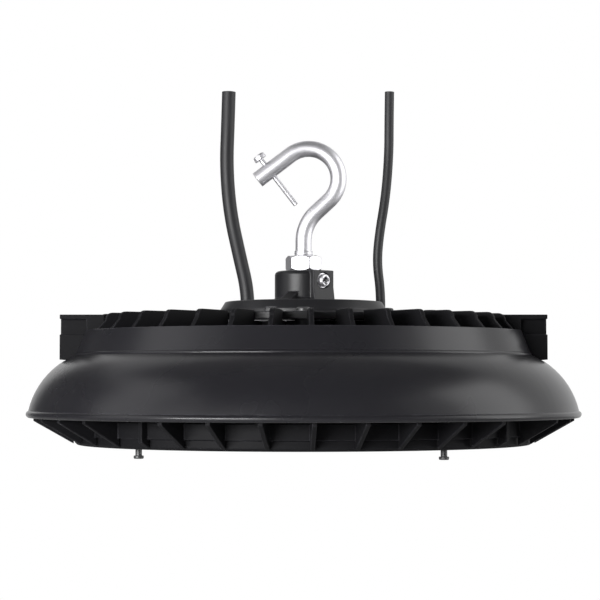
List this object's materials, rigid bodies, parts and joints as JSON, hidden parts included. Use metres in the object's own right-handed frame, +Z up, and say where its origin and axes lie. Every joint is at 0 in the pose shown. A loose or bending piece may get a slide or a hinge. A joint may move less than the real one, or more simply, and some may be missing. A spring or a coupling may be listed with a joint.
{
  "type": "high bay light",
  "caption": "Round black high bay light with a finned heat sink, flared ring, side lugs, lens plate, open steel hook on a top boss and two short cord leads.",
  "frame": {"origin": "on the light's vertical axis, in the plane of the four stud heads under the lens frame, the lowest point of the light", "axes": "+Z up, along the hook's shank; +X towards the side lug on the viewer's right when the hook's mouth opens to the left; +Y away from that viewer"},
  "size_m": [0.305, 0.305, 0.2091],
  "materials": {
    "black_casting": "satin black powder coat on a die casting",
    "black_satin_shell": "satin black paint on a pressed ring",
    "seal_rubber": "soft grey silicone",
    "black_screw": "black passivated steel",
    "zinc_steel": "zinc plated steel",
    "bright_zinc": "bright zinc plated steel",
    "aluminium_sheet": "mill finish sheet",
    "driver_case": "grey potted driver case",
    "thermal_silicone": "soft thermal pad",
    "board_white": "white solder mask on an aluminium board",
    "led_phosphor": "yellow phosphor package",
    "clear_lens": "clear moulded optic plate",
    "black_cord": "matt black cord jacket",
    "grey_cord": "matt dark grey cord jacket",
    "gland_nylon": "black moulded nylon",
    "lead_red": "insulated lead"
  },
  "bodies": {
    "root": {"board_screws": "zinc_steel", "cover_gasket": "seal_rubber", "cover_screws": "black_screw", "dimming_cord": "grey_cord", "dimming_gland": "gland_nylon", "dimming_gland_cap": "gland_nylon", "dimming_gland_nut": "gland_nylon", "dimming_lead": "grey_cord", "driver_cover": "black_casting", "driver_plate": "aluminium_sheet", "driver_screws": "zinc_steel", "heat_sink": "black_casting", "hook": "bright_zinc", "hook_keeper_screw": "bright_zinc", "hook_lock_nut": "bright_zinc", "led_board": "board_white", "led_chips": "led_phosphor", "led_driver": "driver_case", "led_lead": "lead_red", "lens_frame": "black_casting", "lens_frame_screws": "black_screw", "lens_gasket": "seal_rubber", "lens_plate": "clear_lens", "power_cord": "black_cord", "power_gland": "gland_nylon", "power_gland_cap": "gland_nylon", "power_gland_nut": "gland_nylon", "power_lead": "black_cord", "reflector_studs": "black_screw", "set_screw": "bright_zinc", "set_screw_washer": "bright_zinc", "shroud": "black_satin_shell", "shroud_screws": "black_screw", "thermal_pad": "thermal_silicone"}
  },
  "joints": []
}
